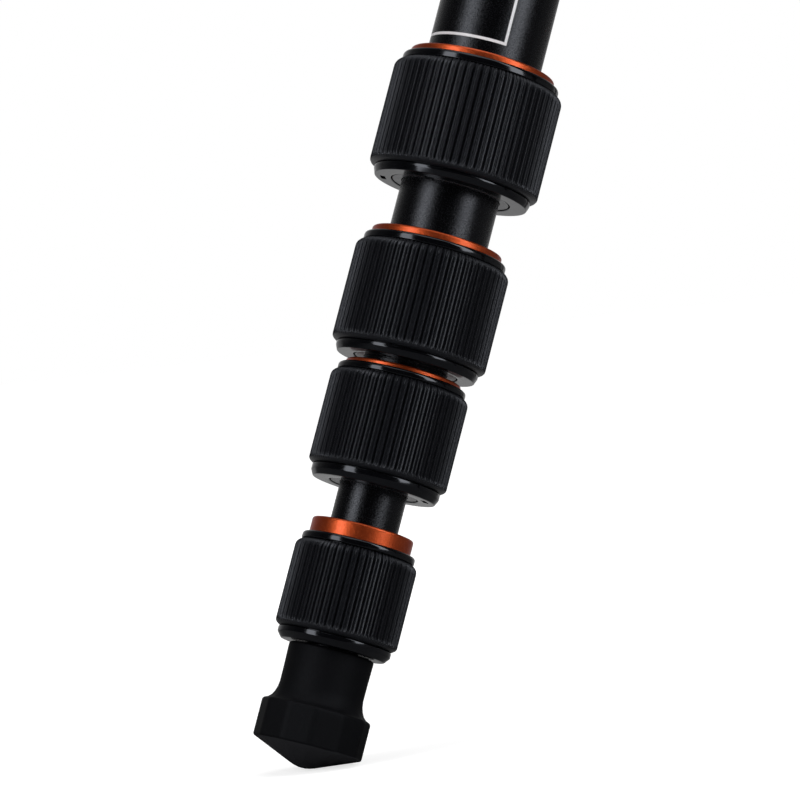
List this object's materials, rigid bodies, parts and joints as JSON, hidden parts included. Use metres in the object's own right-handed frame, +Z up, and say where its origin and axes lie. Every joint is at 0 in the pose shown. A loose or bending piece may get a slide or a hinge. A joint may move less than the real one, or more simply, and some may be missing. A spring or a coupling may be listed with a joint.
{
  "type": "travel tripod",
  "caption": "Compact camera tripod with five-section legs, ribbed twist locks with bright collars, faceted rubber feet, a rising column and a ball head.",
  "frame": {"origin": "on the ground, under the column's axis", "axes": "+Z up along the column; -Y towards leg a"},
  "size_m": [0.2895, 0.2537, 0.4042],
  "materials": {
    "black_anodised": "fine satin",
    "orange_anodised": "satin",
    "gloss_black": "gloss",
    "grip_rubber": "matt",
    "foot_rubber": "matt",
    "bush_plastic": "matt",
    "black_casting": "fine texture",
    "bright_steel": "satin"
  },
  "bodies": {
    "chassis": {"hub": "black_casting", "hinge_bolts": "bright_steel"},
    "leg_a_section_1": {"leg_a_yoke": "black_casting", "leg_a_tube_1": "black_anodised", "leg_a_lock_1_collar": "orange_anodised"},
    "leg_a_section_2": {"leg_a_tube_2": "black_anodised", "leg_a_lock_2_collar": "orange_anodised"},
    "leg_a_section_3": {"leg_a_tube_3": "black_anodised", "leg_a_lock_3_collar": "orange_anodised"},
    "leg_a_section_4": {"leg_a_tube_4": "black_anodised", "leg_a_lock_4_collar": "orange_anodised"},
    "leg_a_section_5": {"leg_a_tube_5": "black_anodised", "leg_a_foot": "foot_rubber"},
    "leg_a_stop": {"leg_a_angle_tab": "orange_anodised"},
    "leg_a_feed_1": {"leg_a_lock_1_bush": "bush_plastic"},
    "leg_a_lock_1": {"leg_a_lock_1_shell": "gloss_black", "leg_a_lock_1_grip": "grip_rubber"},
    "leg_a_feed_2": {"leg_a_lock_2_bush": "bush_plastic"},
    "leg_a_lock_2": {"leg_a_lock_2_shell": "gloss_black", "leg_a_lock_2_grip": "grip_rubber"},
    "leg_a_feed_3": {"leg_a_lock_3_bush": "bush_plastic"},
    "leg_a_lock_3": {"leg_a_lock_3_shell": "gloss_black", "leg_a_lock_3_grip": "grip_rubber"},
    "leg_a_feed_4": {"leg_a_lock_4_bush": "bush_plastic"},
    "leg_a_lock_4": {"leg_a_lock_4_shell": "gloss_black", "leg_a_lock_4_grip": "grip_rubber"},
    "leg_b_section_1": {"leg_b_yoke": "black_casting", "leg_b_tube_1": "black_anodised"},
    "leg_b_section_2": {"leg_b_tube_2": "black_anodised"},
    "leg_b_section_3": {"leg_b_tube_3": "black_anodised"},
    "leg_b_section_4": {"leg_b_tube_4": "black_anodised"},
    "leg_b_section_5": {"leg_b_tube_5": "black_anodised", "leg_b_foot": "foot_rubber"},
    "leg_b_stop": {"leg_b_angle_tab": "orange_anodised"},
    "leg_b_lock_1": {"leg_b_lock_1": "gloss_black"},
    "leg_b_lock_2": {"leg_b_lock_2": "gloss_black"},
    "leg_b_lock_3": {"leg_b_lock_3": "gloss_black"},
    "leg_b_lock_4": {"leg_b_lock_4": "gloss_black"},
    "leg_c_section_1": {"leg_c_yoke": "black_casting", "leg_c_tube_1": "black_anodised"},
    "leg_c_section_2": {"leg_c_tube_2": "black_anodised"},
    "leg_c_section_3": {"leg_c_tube_3": "black_anodised"},
    "leg_c_section_4": {"leg_c_tube_4": "black_anodised"},
    "leg_c_section_5": {"leg_c_tube_5": "black_anodised", "leg_c_foot": "foot_rubber"},
    "leg_c_stop": {"leg_c_angle_tab": "orange_anodised"},
    "leg_c_lock_1": {"leg_c_lock_1": "gloss_black"},
    "leg_c_lock_2": {"leg_c_lock_2": "gloss_black"},
    "leg_c_lock_3": {"leg_c_lock_3": "gloss_black"},
    "leg_c_lock_4": {"leg_c_lock_4": "gloss_black"},
    "column": {"column_tube": "black_anodised", "column_cap": "gloss_black", "head_plate": "black_anodised"},
    "column_lock": {"column_lock": "gloss_black"},
    "weight_ring": {"weight_ring": "bright_steel"},
    "head": {"head_housing": "black_anodised"},
    "head_knob": {"head_knob": "black_anodised"},
    "ball": {"head_clamp": "black_anodised"},
    "clamp_knob": {"clamp_knob": "black_anodised"},
    "camera_plate": {"camera_plate": "orange_anodised"}
  },
  "joints": [
    {"name": "leg_a_swing", "type": "hinge", "parent": "chassis", "child": "leg_a_section_1", "pos_m": [0, -0.033, 0.30072], "axis": [1, 0, 0], "range_deg": [-157.5, 22.5]},
    {"name": "leg_a_extend_2", "type": "slide", "parent": "leg_a_section_1", "child": "leg_a_section_2", "axis": [0, -0.3827, -0.9239], "range_m": [-0.009, 0.15]},
    {"name": "leg_a_extend_3", "type": "slide", "parent": "leg_a_section_2", "child": "leg_a_section_3", "axis": [0, -0.3827, -0.9239], "range_m": [-0.0009, 0.15]},
    {"name": "leg_a_extend_4", "type": "slide", "parent": "leg_a_section_3", "child": "leg_a_section_4", "axis": [0, -0.3827, -0.9239], "range_m": [-0.007, 0.15]},
    {"name": "leg_a_extend_5", "type": "slide", "parent": "leg_a_section_4", "child": "leg_a_section_5", "axis": [0, -0.3827, -0.9239], "range_m": [0, 0.15]},
    {"name": "column_lift", "type": "slide", "parent": "chassis", "child": "column", "axis": [0, 0, 1], "range_m": [0, 0.1]},
    {"name": "head_pan", "type": "hinge", "parent": "column", "child": "head", "pos_m": [0, 0, 0.35072], "axis": [0, 0, 1], "continuous": true},
    {"name": "head_tilt", "type": "hinge", "parent": "head", "child": "ball", "pos_m": [0, 0, 0.36872], "axis": [-0.9659, 0.2588, 0], "range_deg": [0, 90]},
    {"name": "leg_a_feed_1_slide", "type": "slide", "parent": "leg_a_section_1", "child": "leg_a_feed_1", "axis": [0, -0.3827, -0.9239], "range_m": [0, 0.000875]},
    {"name": "leg_a_lock_1_turn", "type": "hinge", "parent": "leg_a_feed_1", "child": "leg_a_lock_1", "pos_m": [0, -0.033, 0.30072], "axis": [0, -0.3827, -0.9239], "range_deg": [0, 96]},
    {"name": "leg_a_feed_2_slide", "type": "slide", "parent": "leg_a_section_2", "child": "leg_a_feed_2", "axis": [0, -0.3827, -0.9239], "range_m": [0, 0.000875]},
    {"name": "leg_a_lock_2_turn", "type": "hinge", "parent": "leg_a_feed_2", "child": "leg_a_lock_2", "pos_m": [0, -0.033, 0.30072], "axis": [0, -0.3827, -0.9239], "range_deg": [0, 96]},
    {"name": "leg_a_feed_3_slide", "type": "slide", "parent": "leg_a_section_3", "child": "leg_a_feed_3", "axis": [0, -0.3827, -0.9239], "range_m": [0, 0.000875]},
    {"name": "leg_a_lock_3_turn", "type": "hinge", "parent": "leg_a_feed_3", "child": "leg_a_lock_3", "pos_m": [0, -0.033, 0.30072], "axis": [0, -0.3827, -0.9239], "range_deg": [0, 96]},
    {"name": "leg_a_feed_4_slide", "type": "slide", "parent": "leg_a_section_4", "child": "leg_a_feed_4", "axis": [0, -0.3827, -0.9239], "range_m": [-0.00185, 0]},
    {"name": "leg_a_lock_4_turn", "type": "hinge", "parent": "leg_a_feed_4", "child": "leg_a_lock_4", "pos_m": [0, -0.033, 0.30072], "axis": [0, -0.3827, -0.9239], "range_deg": [-196, 0]},
    {"name": "leg_a_stop_slide", "type": "slide", "parent": "leg_a_section_1", "child": "leg_a_stop", "axis": [0, 0.9239, -0.3827], "range_m": [0, 0.0046]},
    {"name": "column_lock_turn", "type": "hinge", "parent": "chassis", "child": "column_lock", "pos_m": [0, 0, 0.32072], "axis": [0, 0, 1], "range_deg": [0, 240]},
    {"name": "head_knob_turn", "type": "hinge", "parent": "head", "child": "head_knob", "pos_m": [0, 0, 0.36222], "axis": [0.9659, -0.2588, 0], "range_deg": [-180, 180]},
    {"name": "clamp_knob_turn", "type": "hinge", "parent": "ball", "child": "clamp_knob", "pos_m": [0, 0, 0.39062], "axis": [0.9659, -0.2588, 0], "range_deg": [-180, 180]},
    {"name": "plate_slide", "type": "slide", "parent": "ball", "child": "camera_plate", "axis": [-0.2588, -0.9659, 0], "range_m": [0, 0.014]},
    {"name": "ring_swing", "type": "hinge", "parent": "column", "child": "weight_ring", "pos_m": [0, 0, 0.16412], "axis": [0, 1, 0], "range_deg": [-60, 60]},
    {"name": "leg_b_swing", "type": "hinge", "parent": "chassis", "child": "leg_b_section_1", "pos_m": [0.02858, 0.0165, 0.30072], "axis": [-0.5, 0.866, 0], "range_deg": [-157.5, 22.5]},
    {"name": "leg_b_extend_2", "type": "slide", "parent": "leg_b_section_1", "child": "leg_b_section_2", "axis": [0.3314, 0.1913, -0.9239], "range_m": [-0.009, 0.15]},
    {"name": "leg_b_extend_3", "type": "slide", "parent": "leg_b_section_2", "child": "leg_b_section_3", "axis": [0.3314, 0.1913, -0.9239], "range_m": [-0.0009, 0.15]},
    {"name": "leg_b_extend_4", "type": "slide", "parent": "leg_b_section_3", "child": "leg_b_section_4", "axis": [0.3314, 0.1913, -0.9239], "range_m": [-0.007, 0.15]},
    {"name": "leg_b_extend_5", "type": "slide", "parent": "leg_b_section_4", "child": "leg_b_section_5", "axis": [0.3314, 0.1913, -0.9239], "range_m": [0, 0.15]},
    {"name": "leg_b_stop_slide", "type": "slide", "parent": "leg_b_section_1", "child": "leg_b_stop", "axis": [-0.8001, -0.4619, -0.3827], "range_m": [0, 0.0046]},
    {"name": "leg_b_lock_1_turn", "type": "hinge", "parent": "leg_b_section_1", "child": "leg_b_lock_1", "pos_m": [0.02858, 0.0165, 0.30072], "axis": [0.3314, 0.1913, -0.9239], "range_deg": [0, 90]},
    {"name": "leg_b_lock_2_turn", "type": "hinge", "parent": "leg_b_section_2", "child": "leg_b_lock_2", "pos_m": [0.02858, 0.0165, 0.30072], "axis": [0.3314, 0.1913, -0.9239], "range_deg": [0, 90]},
    {"name": "leg_b_lock_3_turn", "type": "hinge", "parent": "leg_b_section_3", "child": "leg_b_lock_3", "pos_m": [0.02858, 0.0165, 0.30072], "axis": [0.3314, 0.1913, -0.9239], "range_deg": [0, 90]},
    {"name": "leg_b_lock_4_turn", "type": "hinge", "parent": "leg_b_section_4", "child": "leg_b_lock_4", "pos_m": [0.02858, 0.0165, 0.30072], "axis": [0.3314, 0.1913, -0.9239], "range_deg": [-190, 0]},
    {"name": "leg_c_swing", "type": "hinge", "parent": "chassis", "child": "leg_c_section_1", "pos_m": [-0.02858, 0.0165, 0.30072], "axis": [-0.5, -0.866, 0], "range_deg": [-157.5, 22.5]},
    {"name": "leg_c_extend_2", "type": "slide", "parent": "leg_c_section_1", "child": "leg_c_section_2", "axis": [-0.3314, 0.1913, -0.9239], "range_m": [-0.009, 0.15]},
    {"name": "leg_c_extend_3", "type": "slide", "parent": "leg_c_section_2", "child": "leg_c_section_3", "axis": [-0.3314, 0.1913, -0.9239], "range_m": [-0.0009, 0.15]},
    {"name": "leg_c_extend_4", "type": "slide", "parent": "leg_c_section_3", "child": "leg_c_section_4", "axis": [-0.3314, 0.1913, -0.9239], "range_m": [-0.007, 0.15]},
    {"name": "leg_c_extend_5", "type": "slide", "parent": "leg_c_section_4", "child": "leg_c_section_5", "axis": [-0.3314, 0.1913, -0.9239], "range_m": [0, 0.15]},
    {"name": "leg_c_stop_slide", "type": "slide", "parent": "leg_c_section_1", "child": "leg_c_stop", "axis": [0.8001, -0.4619, -0.3827], "range_m": [0, 0.0046]},
    {"name": "leg_c_lock_1_turn", "type": "hinge", "parent": "leg_c_section_1", "child": "leg_c_lock_1", "pos_m": [-0.02858, 0.0165, 0.30072], "axis": [-0.3314, 0.1913, -0.9239], "range_deg": [0, 90]},
    {"name": "leg_c_lock_2_turn", "type": "hinge", "parent": "leg_c_section_2", "child": "leg_c_lock_2", "pos_m": [-0.02858, 0.0165, 0.30072], "axis": [-0.3314, 0.1913, -0.9239], "range_deg": [0, 90]},
    {"name": "leg_c_lock_3_turn", "type": "hinge", "parent": "leg_c_section_3", "child": "leg_c_lock_3", "pos_m": [-0.02858, 0.0165, 0.30072], "axis": [-0.3314, 0.1913, -0.9239], "range_deg": [0, 90]},
    {"name": "leg_c_lock_4_turn", "type": "hinge", "parent": "leg_c_section_4", "child": "leg_c_lock_4", "pos_m": [-0.02858, 0.0165, 0.30072], "axis": [-0.3314, 0.1913, -0.9239], "range_deg": [-190, 0]}
  ],
  "couplings": [
    {"joint": "leg_a_lock_1_turn", "follows": "leg_a_feed_1_slide", "rad_per_m": 1795.2},
    {"joint": "leg_a_lock_2_turn", "follows": "leg_a_feed_2_slide", "rad_per_m": 1795.2},
    {"joint": "leg_a_lock_3_turn", "follows": "leg_a_feed_3_slide", "rad_per_m": 1795.2},
    {"joint": "leg_a_lock_4_turn", "follows": "leg_a_feed_4_slide", "rad_per_m": 1795.2}
  ]
}
